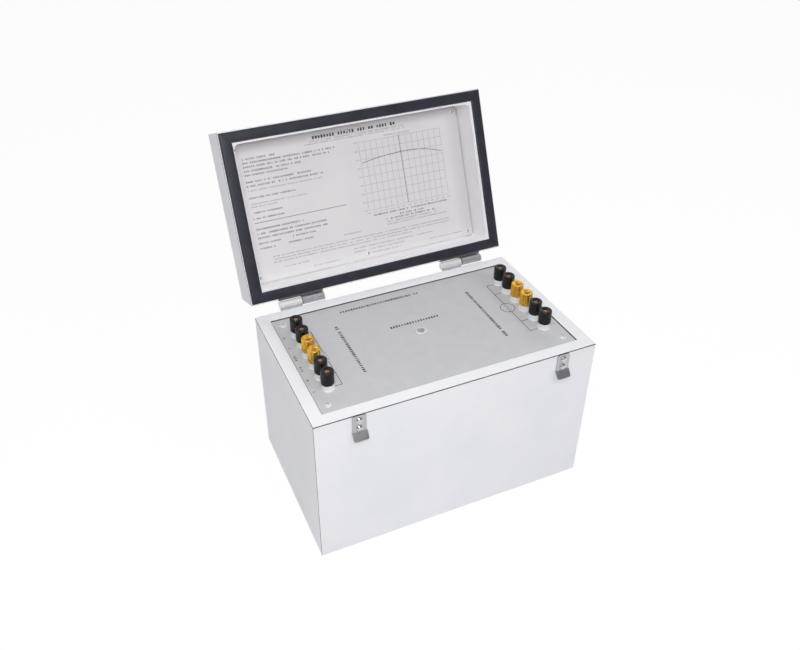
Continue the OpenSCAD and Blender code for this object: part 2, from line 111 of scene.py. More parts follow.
def maths(tree, operation, *terms, kind="ShaderNodeMath"):
    """The outcome of one operation on values or sockets."""
    return add(tree, kind, dict(enumerate(terms)), operation=operation).outputs[0]


def whole_maths(tree, operation, *terms):
    """The outcome of one operation on whole numbers."""
    return maths(tree, operation, *terms, kind="FunctionNodeIntegerMath")


def rising(tree, value, start, end, top=1.0):
    """0 up to a start, and from there a smooth rise that reaches its top at the end."""
    levels = {"Value": value, "From Min": start, "From Max": end, "To Max": top}
    return add(tree, "ShaderNodeMapRange", levels, interpolation_type="SMOOTHSTEP").outputs[0]


# Materials


def blended(tree, factor, first, second):
    """A colour between two others, each a hex value or a socket."""
    ends = [colour(end) if isinstance(end, str) else end for end in (first, second)]
    mix = add(tree, "ShaderNodeMix", {"Factor": factor, "A": ends[0], "B": ends[1]}, data_type="RGBA")
    return mix.outputs[2]


def start_material(name, base, roughness, **sockets):
    """A material with its shader's plain numbers set, and the piece's own coordinates at hand."""
    material = bpy.data.materials.new(name)
    material.use_nodes = True
    tree = material.node_tree
    tree.nodes.clear()
    numbers = {"Base Color": colour(base), "Roughness": roughness}
    numbers.update({key.replace("_", " "): value for key, value in sockets.items()})
    shader = add(tree, "ShaderNodeBsdfPrincipled", numbers)
    add(tree, "ShaderNodeOutputMaterial", {"Surface": shader.outputs[0]})
    place = add(tree, "ShaderNodeTexCoord").outputs
    return material, tree, shader, place


# Almost all of a noise lies between these values
NOISE_LOW = 0.3
NOISE_HIGH = 0.7


def grain(tree, place, size, low, high, stretch=(1, 1, 1), detail=3.0):
    """A soft random pattern of blotches of a size in millimetres, between two values."""
    spread = add(tree, "ShaderNodeMapping", {"Vector": place["Object"], "Scale": stretch})
    pattern = {"Vector": spread.outputs[0], "Scale": 1 / (size * MM), "Detail": detail}
    noise = add(tree, "ShaderNodeTexNoise", pattern)
    levels = {"From Min": NOISE_LOW, "From Max": NOISE_HIGH, "To Min": low, "To Max": high}
    return add(tree, "ShaderNodeMapRange", {"Value": noise.outputs[0], **levels}).outputs[0]


def tinted(tree, shader, factor, first, second):
    """Runs the shader's colour between two others by a factor."""
    tree.links.new(blended(tree, factor, first, second), shader.inputs["Base Color"])


def raised(tree, shader, height, depth):
    """Gives the shader a bump whose full height is a depth in millimetres."""
    bump = add(tree, "ShaderNodeBump", {"Height": height, "Distance": depth * MM})
    tree.links.new(bump.outputs[0], shader.inputs["Normal"])


# A face looks in a direction where its normal's share of it is above this
FACING = 0.9


def laminate(name, faces, lapped=None, tones=("#EEEEF3", "#E9EAEF")):
    """High-pressure laminate: a white satin face over a core of dark paper, which shows where the
    sheet is cut. faces are the directions in which the sheet's white faces look, and lapped gives
    a direction whose faces are cut edges beyond a distance from the middle."""
    material, tree, shader, place = start_material(name, "#EDEDF2", 0.36, IOR=1.5)
    white = 0.0
    for face in faces:
        terms = {0: place["Normal"], 1: face}
        along = add(tree, "ShaderNodeVectorMath", terms, operation="DOT_PRODUCT").outputs["Value"]
        mask = maths(tree, "GREATER_THAN", maths(tree, "ABSOLUTE", along), FACING)
        if lapped and face == lapped[0]:
            across = add(tree, "ShaderNodeSeparateXYZ", {0: place["Object"]}).outputs["X"]
            near = maths(tree, "LESS_THAN", maths(tree, "ABSOLUTE", across), lapped[1] * MM)
            mask = maths(tree, "MULTIPLY", mask, near)
        white = maths(tree, "MAXIMUM", white, mask)
    face_tone = blended(tree, grain(tree, place, 60, 0, 1), *tones)
    # Dark paper core on the laminates' cut edges; on the instruction plate the same dark edges are painted
    # shade
    core_and_edge_shade_tone = blended(tree, grain(tree, place, 0.5, 0, 1), "#2C2B2D", "#3E3C3E")
    tinted(tree, shader, white, core_and_edge_shade_tone, face_tone)
    smooth = grain(tree, place, 35, 0.31, 0.39)
    rough = add(tree, "ShaderNodeMix", {"Factor": white, "A": 0.7, "B": smooth}, data_type="FLOAT")
    tree.links.new(rough.outputs[0], shader.inputs["Roughness"])
    raised(tree, shader, grain(tree, place, 0.9, 0, 1), 0.012)
    return material


def moulded(name, base, second, roughness, skin=1.2, depth=0.01, **sockets):
    """Moulded plastic: an even colour with a faint mottle, and the mould's fine skin."""
    material, tree, shader, place = start_material(name, base, roughness, **sockets)
    tinted(tree, shader, grain(tree, place, 14, 0, 1), base, second)
    wear = grain(tree, place, 5, roughness * 0.88, roughness * 1.12)
    tree.links.new(wear, shader.inputs["Roughness"])
    raised(tree, shader, grain(tree, place, skin, 0, 1), depth)
    return material


def plated(name, base, second, roughness, lines=(1, 1, 1), size=0.8, depth=0.006, metal=1.0):
    """Plated metal: fine grinding marks under the plating, and a slow change of tone. Below 1,
    metal leaves room for the dull film on old plating."""
    material, tree, shader, place = start_material(name, base, roughness, Metallic=metal)
    tinted(tree, shader, grain(tree, place, 4, 0, 1), base, second)
    marks = grain(tree, place, size, roughness * 0.8, roughness * 1.25, stretch=lines)
    tree.links.new(marks, shader.inputs["Roughness"])
    raised(tree, shader, grain(tree, place, size, 0, 1, stretch=lines), depth)
    return material


# The wood's grain runs along X
ALONG_X = (0.06, 1, 1)


def wooden(name, base, dark):
    """Wood: long streaks of grain, 1.5 mm apart, and an open dull surface. Near the panel it is
    painted near black, as painted shade, so that the gap round the panel looks dark."""
    material, tree, shader, place = start_material(name, base, 0.62)
    streaks = grain(tree, place, 1.5, 0, 1, stretch=ALONG_X, detail=6)
    wood = blended(tree, streaks, base, dark)
    # Painted shade: near black between the height set at the top and the case's top
    height = add(tree, "ShaderNodeSeparateXYZ", {0: place["Object"]}).outputs["Z"]
    above = maths(tree, "GREATER_THAN", height, SHADE_PAINT_FROM * MM)
    below = maths(tree, "LESS_THAN", height, CASE_H * MM)
    tinted(tree, shader, maths(tree, "MULTIPLY", above, below), wood, "#1E1C1D")
    raised(tree, shader, grain(tree, place, 0.7, 0, 1, stretch=ALONG_X), 0.05)
    return material


X_AXIS = (1.0, 0.0, 0.0)
Y_AXIS = (0.0, 1.0, 0.0)
Z_AXIS = (0.0, 0.0, 1.0)
LID_Y = tuple(LID.to_3x3() @ Vector(Y_AXIS))
LID_Z = tuple(LID.to_3x3() @ Vector(Z_AXIS))
# Past the ends of the lid's front and back sheets, the cut edges of its end sheets show
LAPPED_ENDS = (LID_Y, CASE_W / 2 - LAMINATE)
# Grinding marks that run along a hinge, and those that run up a cap
HINGE_MARKS = (0.1, 1, 1)
CAP_MARKS = (1, 1, 0.05)

finishes = {
    "sheet_x": laminate("white_laminate_ends", [X_AXIS]),
    "sheet_y": laminate("white_laminate_front_and_back", [Y_AXIS]),
    "sheet_z": laminate("white_laminate_rim", [Z_AXIS]),
    "lid_sheet": laminate("white_laminate_lid_sides", [X_AXIS, LID_Y], LAPPED_ENDS),
    "lid_flat": laminate("white_laminate_lid_flat", [LID_Z]),
    # Vacuum-formed styrene: smooth, a little glossier than the laminate
    "lining": moulded("formed_white_styrene", "#F6F5F7", "#F2F1F4", 0.34, skin=9, depth=0.03),
    # Stove enamel on aluminium sheet: satin, with the orange peel of sprayed paint
    "panel": moulded("grey_stove_enamel", "#C4C4C9", "#BFC0C5", 0.42, skin=0.8, depth=0.015),
    # Engraving plastic: a warm off-white face with a soft sheen; its cut edges are painted black, as painted
    # shade for the gap round the plate
    "sheet": laminate("plate_plastic_edges_painted_shade", [LID_Z], tones=("#E0DDDF", "#DBD8DB")),
    # Phenolic moulding: black and glossy, worn a little dull by fingers
    "black": moulded("black_phenolic", "#08080B", "#0E0E11", 0.26, skin=1.0, depth=0.006, IOR=1.42),
    # Nylon: milky, lets light in
    "nylon": moulded(
        "natural_nylon", "#F3F2F0", "#ECEBEB", 0.38, Subsurface_Weight=0.25, Subsurface_Scale=0.003
    ),
    # Closed-cell neoprene strip: black with a satin skin of fine pores
    "rubber": moulded("neoprene_strip", "#22222C", "#2B2B38", 0.45, skin=0.7, depth=0.03),
    # Bright zinc on pressed steel, with the sheet's faint waves
    "zinc": plated("bright_zinc_plate", "#C4C4CA", "#BABAC1", 0.34, size=2.5, depth=0.01),
    # Brushed nickel on the hinges, one metal in painted tones: lighter on the case's leaves and greyer on
    # the lid's, as painted light and shade, and darkest on the lid's plate edges, as painted shadow under
    # the lid's rim
    "satin": plated(
        "hinge_nickel_painted_lighter", "#F0F0F0", "#E6E6E8", 0.33, HINGE_MARKS, size=0.6, depth=0.004, metal=0.4
    ),
    "dull": plated(
        "hinge_nickel_painted_darker", "#C4C4C9", "#B6B6BC", 0.3, HINGE_MARKS, size=0.6, depth=0.004, metal=0.7
    ),
    "shadowed_hinge_nickel": plated("hinge_nickel_painted_shadow", "#85858B", "#737379", 0.35, metal=0.8),
    # Nickel on screws, pins and rivets: polished
    "nickel": plated("polished_nickel", "#CFCED1", "#C6C6CA", 0.1),
    # Gold flash over polished brass
    "gold": plated("polished_gold_plate", "#F0C254", "#E8B545", 0.2, CAP_MARKS, size=1.5, depth=0.003),
    # Bare copper under a thin brown film
    "copper": plated("tarnished_copper", "#F2C79C", "#DDA577", 0.28, metal=0.4),
    # Metals inside the case
    "brass": plated("machined_brass", "#C9A45C", "#B8924A", 0.3),
    "steel": plated("tinned_steel", "#B4B8BC", "#A9ADB2", 0.35),
    "wire": plated("enamelled_resistance_wire", "#A8753F", "#8E5F30", 0.35, lines=(1, 1, 9)),
    # Acetal: a hard, slightly waxy plastic, turned to size
    "well": moulded("turned_acetal", "#D4D4D8", "#CDCDD2", 0.35, skin=0.6, depth=0.008),
    # Enamel on the pan-head screws, paler than the panel
    "screw_paint": moulded("pale_screw_enamel", "#DCDCDF", "#D3D3D7", 0.34, skin=1.0, depth=0.01),
    "plywood": wooden("birch_plywood", "#D9BC8C", "#B8925F"),
    "pine": wooden("planed_pine", "#E2C592", "#C39B62"),
    # Rigid polyurethane foam: dull, with cells of half a millimetre
    "foam": moulded("rigid_foam", "#E6DDB4", "#D9CE9F", 0.9, skin=0.5, depth=0.15),
    "bobbin": moulded("cream_bobbin_plastic", "#E6DEC4", "#DCD3B6", 0.45),
    "sensor": moulded("dark_red_epoxy", "#7A231D", "#65190F", 0.4),
    # Screen ink, a little raised. Small print is greyer, because its letters are too fine to show
    "ink": moulded("black_screen_ink", "#3C3B40", "#444348", 0.55, skin=0.4, depth=0.004),
    "print": moulded("fine_grey_print", "#77757A", "#828085", 0.55, skin=0.4, depth=0.004),
    "faint": moulded("faint_grey_print", "#A7A4A8", "#AFACB0", 0.55, skin=0.4, depth=0.004),
}

CAD_FINISH = {
    "front_wall": "plywood",
    "back_wall": "plywood",
    "end_walls": "plywood",
    "base_board": "plywood",
    "front_laminate": "sheet_y",
    "back_laminate": "sheet_y",
    "end_laminates": "sheet_x",
    "rim_laminate": "sheet_z",
    "panel_supports": "pine",
    "top_panel": "panel",
    "panel_screws": "screw_paint",
    "post_collars": "nylon",
    "post_studs": "copper",
    "post_washers": "nylon",
    "post_nuts": "brass",
    "thermometer_well": "well",
    "well_nut": "brass",
    "insulation_block": "foam",
    "sealed_can": "steel",
    "can_cover": "steel",
    "resistor_bobbin": "bobbin",
    "resistance_winding": "wire",
    "temperature_sensor": "sensor",
    "latch_keepers": "zinc",
    "keeper_rivets": "nickel",
    # The leaves take one nickel in two painted tones: lighter on the case as painted light, greyer on the
    # lid as painted shade
    "case_hinge_leaves": "satin",
    "lid_hinge_leaves": "dull",
    "hinge_pins": "nickel",
    "case_hinge_screws": "nickel",
    "lid_hinge_screws": "nickel",
    "hinge_washers": "black",
    "lid_board": "plywood",
    "lid_long_rails": "plywood",
    "lid_end_rails": "plywood",
    "lid_top_laminate": "lid_flat",
    "lid_side_laminates": "lid_sheet",
    "lid_rim_laminate": "lid_flat",
    "lid_liner": "lining",
    "gasket": "rubber",
    "label_plate": "sheet",
    "label_screws": "nickel",
}
SIDES = {"left": -1, "right": 1}
POSTS = [(side_name, number) for side_name in SIDES for number in range(1, POST_COUNT + 1)]
CAP_NODE = "%s_post_cap_%d"
for post in POSTS:
    CAD_FINISH[CAP_NODE % post] = "gold" if post[1] in GOLD_POSTS else "black"
for node_name, thing in frame["nodes"].items():
    thing.data.materials.clear()
    thing.data.materials.append(finishes[CAD_FINISH[node_name]])


# Making pieces


def body_of(node_name):
    """The body that a CAD node rides on."""
    for body, names in frame["record"]["behaviour"]["bodies"].items():
        if node_name in names:
            return body
    raise KeyError(node_name)


# Faces that meet at more than this, in degrees, leave a hard edge
CREASE = 35
BEVEL_CREASE = 30


def smoothed(mesh, crease):
    """Smooth shading, with hard edges where faces meet at more than an angle in degrees."""
    mesh.polygons.foreach_set("use_smooth", [True] * len(mesh.polygons))
    mesh.set_sharp_from_angle(angle=math.radians(crease))


def show(name, mesh, node_name, finish=None, instead=True, crease=CREASE):
    """Links a finished mesh as a piece on a CAD node's body, with the finish's material if one is given,
    and also in the node's place unless the node shows beside it."""
    mesh.name = name
    piece = bpy.data.objects.new(name, mesh)
    bpy.context.scene.collection.objects.link(piece)
    if finish:
        mesh.materials.clear()
        mesh.materials.append(finishes[finish])
    if not mesh.has_custom_normals:
        smoothed(mesh, crease)
    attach(piece, body_of(node_name))
    if instead:
        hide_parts(node_name)


def poured(shell, name):
    """The mesh of a bmesh, which is freed."""
    mesh = bpy.data.meshes.new(name)
    shell.to_mesh(mesh)
    shell.free()
    return mesh


def wrapped(shell, rings):
    """Closes a skin over rings of vertices, with a face at each end."""
    for one, other in zip(rings, rings[1:]):
        for k in range(len(one)):
            after = (k + 1) % len(one)
            shell.faces.new((one[k], one[after], other[after], other[k]))
    shell.faces.new(rings[0])
    shell.faces.new(list(reversed(rings[-1])))
    bmesh.ops.recalc_face_normals(shell, faces=shell.faces)


def evaluated(mesh, modify):
    """A plain mesh, as it is once modify has put its modifiers on an object that holds it."""
    holder = bpy.data.objects.new("holder", mesh)
    bpy.context.scene.collection.objects.link(holder)
    modify(holder)
    bpy.context.view_layer.update()
    graph = bpy.context.evaluated_depsgraph_get()
    result = bpy.data.meshes.new_from_object(holder.evaluated_get(graph), depsgraph=graph)
    bpy.data.objects.remove(holder)
    return result


def plan(name, sizes):
    """A Geometry Nodes tree that takes and gives a mesh, and its inputs: each size and a material."""
    tree = bpy.data.node_groups.new(name, "GeometryNodeTree")
    tree.interface.new_socket("Mesh", in_out="INPUT", socket_type="NodeSocketGeometry")
    for label, kind in {**sizes, "Material": "Material"}.items():
        tree.interface.new_socket(label, in_out="INPUT", socket_type="NodeSocket" + kind)
    tree.interface.new_socket("Mesh", in_out="OUTPUT", socket_type="NodeSocketGeometry")
    return tree, add(tree, "NodeGroupInput").outputs


def completed(tree, given, shape):
    """The tree, with its material on the shape that it gives."""
    done = add(tree, "GeometryNodeSetMaterial", {"Geometry": shape, "Material": given["Material"]})
    add(tree, "NodeGroupOutput", {"Mesh": done.outputs[0]})
    return tree


def grown(tree, mesh, finish, values):
    """What a tree makes of a mesh."""
    values = {**values, "Material": finishes[finish]}

    def modify(holder):
        modifier = holder.modifiers.new("tree", "NODES")
        modifier.node_group = tree
        for item in tree.interface.items_tree:
            if item.item_type == "SOCKET" and item.in_out == "INPUT" and item.name in values:
                modifier[item.identifier] = values[item.name]

    return evaluated(mesh, modify)


def wires(lines):
    """A mesh of loose edges along lines, each a list of points in millimetres."""
    mesh = bpy.data.meshes.new("wires")
    points, edges = [], []
    for line in lines:
        first = len(points)
        points += [mm(p[0], p[1], p[2] if len(p) > 2 else 0) for p in line]
        edges += [(first + k, first + k + 1) for k in range(len(line) - 1)]
    mesh.from_pydata(points, edges, [])
    return mesh


# A flute starts at this height of its wave, and fades out over this depth above its floor
FLUTE_FROM = -0.25
FLUTE_FADE = 0.45
SAME_SPOT = 1e-7


def turned_tree():
    """Turns an outline, whose points are radius and height, round the Z axis. Flutes are cut into
    what lies further out than a radius."""
    tree, given = plan(
        "Turned piece", {"Steps": "Int", "Flutes": "Int", "Flute depth": "Float", "Flute floor": "Float"}
    )
    count = add(tree, "GeometryNodeAttributeDomainSize", {"Geometry": given["Mesh"]}).outputs["Point Count"]
    rows = whole_maths(tree, "ADD", count, 1)
    columns = whole_maths(tree, "ADD", given["Steps"], 1)
    skin = add(tree, "GeometryNodeMeshGrid", {"Vertices X": columns, "Vertices Y": rows})
    index = add(tree, "GeometryNodeInputIndex").outputs[0]
    point = whole_maths(tree, "MODULO", whole_maths(tree, "MODULO", index, rows), count)
    column = whole_maths(tree, "DIVIDE_FLOOR", index, rows)
    share = maths(tree, "DIVIDE", column, given["Steps"])
    angle = maths(tree, "MULTIPLY", share, 2 * math.pi)
    position = add(tree, "GeometryNodeInputPosition").outputs[0]
    outline = add(
        tree,
        "GeometryNodeSampleIndex",
        {"Geometry": given["Mesh"], "Value": position, "Index": point},
        data_type="FLOAT_VECTOR",
        domain="POINT",
    )
    parts = add(tree, "ShaderNodeSeparateXYZ", {0: outline.outputs[0]}).outputs
    wave = maths(tree, "COSINE", maths(tree, "MULTIPLY", angle, given["Flutes"]))
    groove = rising(tree, wave, FLUTE_FROM, 1.0)
    full = maths(tree, "ADD", given["Flute floor"], FLUTE_FADE * MM)
    reach = rising(tree, parts["X"], given["Flute floor"], full, given["Flute depth"])
    radius = maths(tree, "SUBTRACT", parts["X"], maths(tree, "MULTIPLY", groove, reach))
    across = maths(tree, "MULTIPLY", radius, maths(tree, "COSINE", angle))
    along = maths(tree, "MULTIPLY", radius, maths(tree, "SINE", angle))
    spot = add(tree, "ShaderNodeCombineXYZ", {"X": across, "Y": along, "Z": parts["Z"]}).outputs[0]
    placed = add(tree, "GeometryNodeSetPosition", {"Geometry": skin.outputs["Mesh"], "Position": spot})
    closed = add(
        tree, "GeometryNodeMergeByDistance", {"Geometry": placed.outputs[0], "Distance": SAME_SPOT}
    )
    return completed(tree, given, closed.outputs[0])


def copies_tree():
    """Puts a copy of a piece on every point."""
    tree, given = plan("Copies on points", {"Piece": "Object"})
    piece = add(tree, "GeometryNodeObjectInfo", {"Object": given["Piece"]}).outputs["Geometry"]
    put = add(tree, "GeometryNodeInstanceOnPoints", {"Points": given["Mesh"], "Instance": piece})
    real = add(tree, "GeometryNodeRealizeInstances", {"Geometry": put.outputs[0]})
    return completed(tree, given, real.outputs[0])


def ruled_tree():
    """Draws printed lines: a thin flat bar along every edge."""
    tree, given = plan("Printed lines", {"Width": "Float", "Thickness": "Float"})
    path = add(tree, "GeometryNodeMeshToCurve", {"Mesh": given["Mesh"]}).outputs[0]
    level = add(tree, "GeometryNodeSetCurveNormal", {"Curve": path}).outputs[0]
    sides = {"Width": given["Width"], "Height": given["Thickness"]}
    section = add(tree, "GeometryNodeCurvePrimitiveQuadrilateral", sides).outputs[0]
    run = {"Curve": level, "Profile Curve": section, "Fill Caps": True}
    bar = add(tree, "GeometryNodeCurveToMesh", run).outputs[0]
    return completed(tree, given, bar)


def drawn(tree, kind, inputs):
    """A value drawn at random for each point."""
    node = add(tree, "FunctionNodeRandomValue", inputs, data_type=kind)
    return next(s for s in node.outputs if s.enabled)


# The least and the most of a letter's width, height and thickness, as shares of the full size
LETTER_LEAST = (0.55, 0.72, 1.0)
LETTER_MOST = (1.05, 1.0, 1.0)


def lettering_tree():
    """Stands in for print: rows of small blocks, one for each letter, with gaps between words."""
    tree, given = plan(
        "Rows of print",
        {
            "Letter height": "Float",
            "Letter width": "Float",
            "Pitch": "Float",
            "Thickness": "Float",
            "Gaps": "Float",
            "Seed": "Int",
        },
    )
    path = add(tree, "GeometryNodeMeshToCurve", {"Mesh": given["Mesh"]}).outputs[0]
    spots = add(
        tree, "GeometryNodeResampleCurve", {"Curve": path, "Length": given["Pitch"]}, mode="LENGTH"
    ).outputs[0]
    sides = {"X": given["Letter width"], "Y": given["Letter height"], "Z": given["Thickness"]}
    size = add(tree, "ShaderNodeCombineXYZ", sides).outputs[0]
    letter = add(tree, "GeometryNodeMeshCube", {"Size": size}).outputs["Mesh"]
    gap = drawn(tree, "BOOLEAN", {"Probability": given["Gaps"], "Seed": given["Seed"]})
    kept = add(tree, "FunctionNodeBooleanMath", {0: gap}, operation="NOT").outputs[0]
    other_seed = whole_maths(tree, "ADD", given["Seed"], 7)
    scale = drawn(tree, "FLOAT_VECTOR", {"Min": LETTER_LEAST, "Max": LETTER_MOST, "Seed": other_seed})
    ahead = add(tree, "GeometryNodeInputTangent").outputs[0]
    turn = add(
        tree, "FunctionNodeAlignRotationToVector", {"Vector": ahead}, axis="X", pivot_axis="Z"
    ).outputs[0]
    put = add(
        tree,
        "GeometryNodeInstanceOnPoints",
        {"Points": spots, "Selection": kept, "Instance": letter, "Rotation": turn, "Scale": scale},
    ).outputs[0]
    real = add(tree, "GeometryNodeRealizeInstances", {"Geometry": put}).outputs[0]
    return completed(tree, given, real)


TURNED = turned_tree()
COPIES = copies_tree()
RULED = ruled_tree()
ROWS = lettering_tree()


def rounded(corners, steps=4):
    """The points of a closed outline, given as corners (x, y, radius of the corner)."""
    points = []
    for k, (x, y, radius) in enumerate(corners):
        here = Vector((x, y))
        if radius <= 0:
            points.append(here)
            continue
        before = (Vector(corners[k - 1][:2]) - here).normalized()
        after = (Vector(corners[(k + 1) % len(corners)][:2]) - here).normalized()
        half = before.angle(after) / 2
        middle = here + (before + after).normalized() * (radius / math.sin(half))
        first = here + before * (radius / math.tan(half))
        last = here + after * (radius / math.tan(half))
        sweep = (first - middle).angle_signed(last - middle)
        for step in range(steps + 1):
            arm = first - middle
            arm.rotate(Matrix.Rotation(-sweep * step / steps, 2))
            points.append(middle + arm)
    return points


def turned(corners, steps, finish, flutes=0, depth=0.0, floor=0.0):
    """A turned piece on the Z axis, from an outline of corners (radius, height, rounding)."""
    outline = wires([[(p.x, 0, p.y) for p in rounded(corners)]])
    sizes = {"Steps": steps, "Flutes": flutes, "Flute depth": depth * MM, "Flute floor": floor * MM}
    mesh = grown(TURNED, outline, finish, sizes)
    shell = bmesh.new()
    shell.from_mesh(mesh)
    bmesh.ops.remove_doubles(shell, verts=shell.verts, dist=SAME_SPOT)
    bmesh.ops.recalc_face_normals(shell, faces=shell.faces)
    shell.to_mesh(mesh)
    shell.free()
    return mesh


def scattered(mesh, spots, finish):
    """Copies of a mesh on spots in millimetres, as one mesh."""
    master = bpy.data.objects.new("master", mesh)
    bpy.context.scene.collection.objects.link(master)
    points = bpy.data.meshes.new("spots")
    points.from_pydata([mm(*spot) for spot in spots], [], [])
    result = grown(COPIES, points, finish, {"Piece": master})
    bpy.data.objects.remove(master)
    return result


def beveled(mesh, width):
    """The mesh with its sharp edges rounded by a width in millimetres, and its flat faces flat."""
    smoothed(mesh, BEVEL_CREASE)

    def modify(holder):
        bevel = holder.modifiers.new("bevel", "BEVEL")
        bevel.width = width * MM
        bevel.segments = 2
        bevel.limit_method = "ANGLE"
        bevel.angle_limit = math.radians(BEVEL_CREASE)
        bevel.miter_outer = "MITER_ARC"
        bevel.harden_normals = True

    return evaluated(mesh, modify)


def eased(node_name, width, reshape=None):
    """A CAD node's shape with its edges broken, as the real sheet's are, in place of the node.
    reshape may move the vertices before the edges are broken."""
    shell = bmesh.new()
    shell.from_mesh(frame["nodes"][node_name].data)
    bmesh.ops.remove_doubles(shell, verts=shell.verts, dist=1e-6)
    bmesh.ops.dissolve_limit(
        shell, angle_limit=math.radians(1), verts=shell.verts, edges=shell.edges, delimit={"NORMAL"}
    )
    if reshape:
        for vertex in shell.verts:
            reshape(vertex)
    name = node_name + "_eased"
    show(name, beveled(poured(shell, name), width), node_name, CAD_FINISH[node_name])


# Binding posts


def post_y(number):
    """A post's place along its row, in which post 1 stands at the back."""
    return ((POST_COUNT + 1) / 2 - number) * POST_PITCH


def post_spot(side_name, number, height=0.0):
    """The place of a post, in millimetres."""
    return (SIDES[side_name] * POST_X, post_y(number), PANEL_TOP + height)


CAP_R = 6.9
CAP_H = 15.8
CAP_BASE = 7.1
CAP_STEPS = 200
FLUTES = 20
FLUTE_DEPTH = {"gold": 0.5, "black": 0.2}
FLUTE_FLOOR = CAP_R - 0.5
BORE_R = 3.2
# Wide enough for the 4 mm plug that the socket takes
HOLE_R = 2.15
WEB_UNDER = CAP_H - 1.55
# The top is dished down to the hole, in which the stud shows
CAP_OUTLINE = [
    (BORE_R, 0.0, 0.0),
    (CAP_R - 0.05, 0.0, 0.45),
    (CAP_R, 1.2, 0.0),
    (CAP_R, CAP_H - 2.2, 0.0),
    (CAP_R, CAP_H, 1.0),
    (4.9, CAP_H, 0.35),
    (HOLE_R, CAP_H - 1.3, 0.2),
    (HOLE_R, WEB_UNDER, 0.0),
    (BORE_R, WEB_UNDER, 0.0),
]

for side_name, number in POSTS:
    node_name = CAP_NODE % (side_name, number)
    finish = CAD_FINISH[node_name]
    cap = turned(CAP_OUTLINE, CAP_STEPS, finish, FLUTES, FLUTE_DEPTH[finish], FLUTE_FLOOR)
    # Each cap was screwed down to an angle of its own
    turn = Matrix.Rotation(math.radians(37 * number + 11 * SIDES[side_name]), 4, "Z")
    cap.transform(Matrix.Translation(mm(*post_spot(side_name, number, CAP_BASE))) @ turn)
    show("fluted_cap_%s_%d" % (side_name, number), cap, node_name, crease=40)

COLLAR_R = 6.6
COLLAR_FOOT_R = 7.2
COLLAR_RIM_R = 6.05
COLLAR_H = 7.0
COLLAR_SEAT = 5.9
# The collar's rim stands up round the stud's flange and hides it
COLLAR_OUTLINE = [
    (BORE_R, 0.0, 0.0),
    (COLLAR_FOOT_R, 0.0, 0.0),
    (COLLAR_FOOT_R, 1.1, 0.4),
    (COLLAR_R, 1.7, 0.3),
    (COLLAR_R, COLLAR_H, 0.2),
    (COLLAR_RIM_R, COLLAR_H, 0.0),
    (COLLAR_RIM_R, COLLAR_SEAT, 0.0),
    (BORE_R, COLLAR_SEAT, 0.0),
]
collars = scattered(turned(COLLAR_OUTLINE, 64, "nylon"), [post_spot(*post) for post in POSTS], "nylon")
show("rounded_post_collars", collars, "post_collars")


# Gasket

# How far each strip lies inside the lid's edge, and its width: at the back, right, front and left
GASKET_STRIPS = ((1.0, 11.6), (0.1, 12.1), (1.0, 12.1), (1.0, 13.6))
# A strip's rings from end to end: which end, the share of the full height, and the mitre's gap
GASKET_RINGS = ((-1, 0.35, 0.08), (-1, 1.0, 0.25), (1, 1.0, 0.25), (1, 0.35, 0.08))
GASKET_STEPS = 14
# The higher these powers, the squarer the pillow's sides and its top
PILLOW_SIDES = 3.2
PILLOW_TOP = 2.2


def gasket_mesh():
    """Four strips with a pillowed section round the lid's rim. Their mitred ends are rounded a
    little, which draws a fine groove across each corner."""
    half = (CASE_W / 2, CASE_D / 2)
    section = []
    for step in range(GASKET_STEPS + 1):
        across = -math.cos(math.pi * step / GASKET_STEPS)
        height = (1 - abs(across) ** PILLOW_SIDES) ** (1 / PILLOW_TOP)
        section.append(((across + 1) / 2, height * GASKET_T))
    strips = bmesh.new()
    for turn, (inset, width) in enumerate(GASKET_STRIPS):
        long, wide = half[turn % 2], half[1 - turn % 2]
        rings = []
        for end, share, gap in GASKET_RINGS:
            next_inset, next_width = GASKET_STRIPS[(turn + end) % 4]
            ring = []
            for across, height in section:
                reach = long - next_inset - across * next_width - gap
                spot = Vector((end * reach, wide - inset - across * width))
                spot.rotate(Matrix.Rotation(-math.pi / 2 * turn, 2))
                ring.append(strips.verts.new(mm(spot.x, spot.y, LID_RIM - height * share)))
            rings.append(ring)
        wrapped(strips, rings)
    mesh = poured(strips, "gasket")
    mesh.transform(LID)
    return mesh


show("pillowed_gasket", gasket_mesh(), "gasket", "rubber", crease=50)


# Eased sheets and fittings

LAMINATES = (
    "front_laminate",
    "back_laminate",
    "end_laminates",
    "rim_laminate",
    "lid_top_laminate",
    "lid_side_laminates",
    "lid_rim_laminate",
)
SHEET_EASE = 0.2
FITTING_EASE = 0.25
for node_name in LAMINATES:
    eased(node_name, SHEET_EASE)
eased("top_panel", 0.35)
eased("thermometer_well", FITTING_EASE)
eased("lid_liner", 0.5)

# The knuckles' radius in the part's source, and that of the rolled sheet
KNUCKLE_R = 4.1
ROLLED_R = 4.7


def rolled(vertex):
    """Moves a vertex on a knuckle's skin out to the radius that the rolled sheet has."""
    arm = Vector((0, vertex.co.y - HINGE_Y * MM, vertex.co.z - HINGE_Z * MM))
    if abs(arm.length - KNUCKLE_R * MM) < 0.1 * MM:
        vertex.co += arm.normalized() * (ROLLED_R - KNUCKLE_R) * MM


for node_name in ("case_hinge_leaves", "lid_hinge_leaves"):
    eased(node_name, 0.3, rolled)


def joined(name, meshes):
    """One mesh of several."""
    whole = bmesh.new()
    for mesh in meshes:
        whole.from_mesh(mesh)
    return poured(whole, name)


def block(lower, upper):
    """A block between two corners in millimetres, with rounded edges."""
    low, high = mm(*lower), mm(*upper)
    shell = bmesh.new()
    bmesh.ops.create_cube(shell, size=1.0)
    bmesh.ops.scale(shell, verts=shell.verts, vec=high - low)
    bmesh.ops.translate(shell, verts=shell.verts, vec=(low + high) / 2)
    return beveled(poured(shell, "block"), FITTING_EASE)


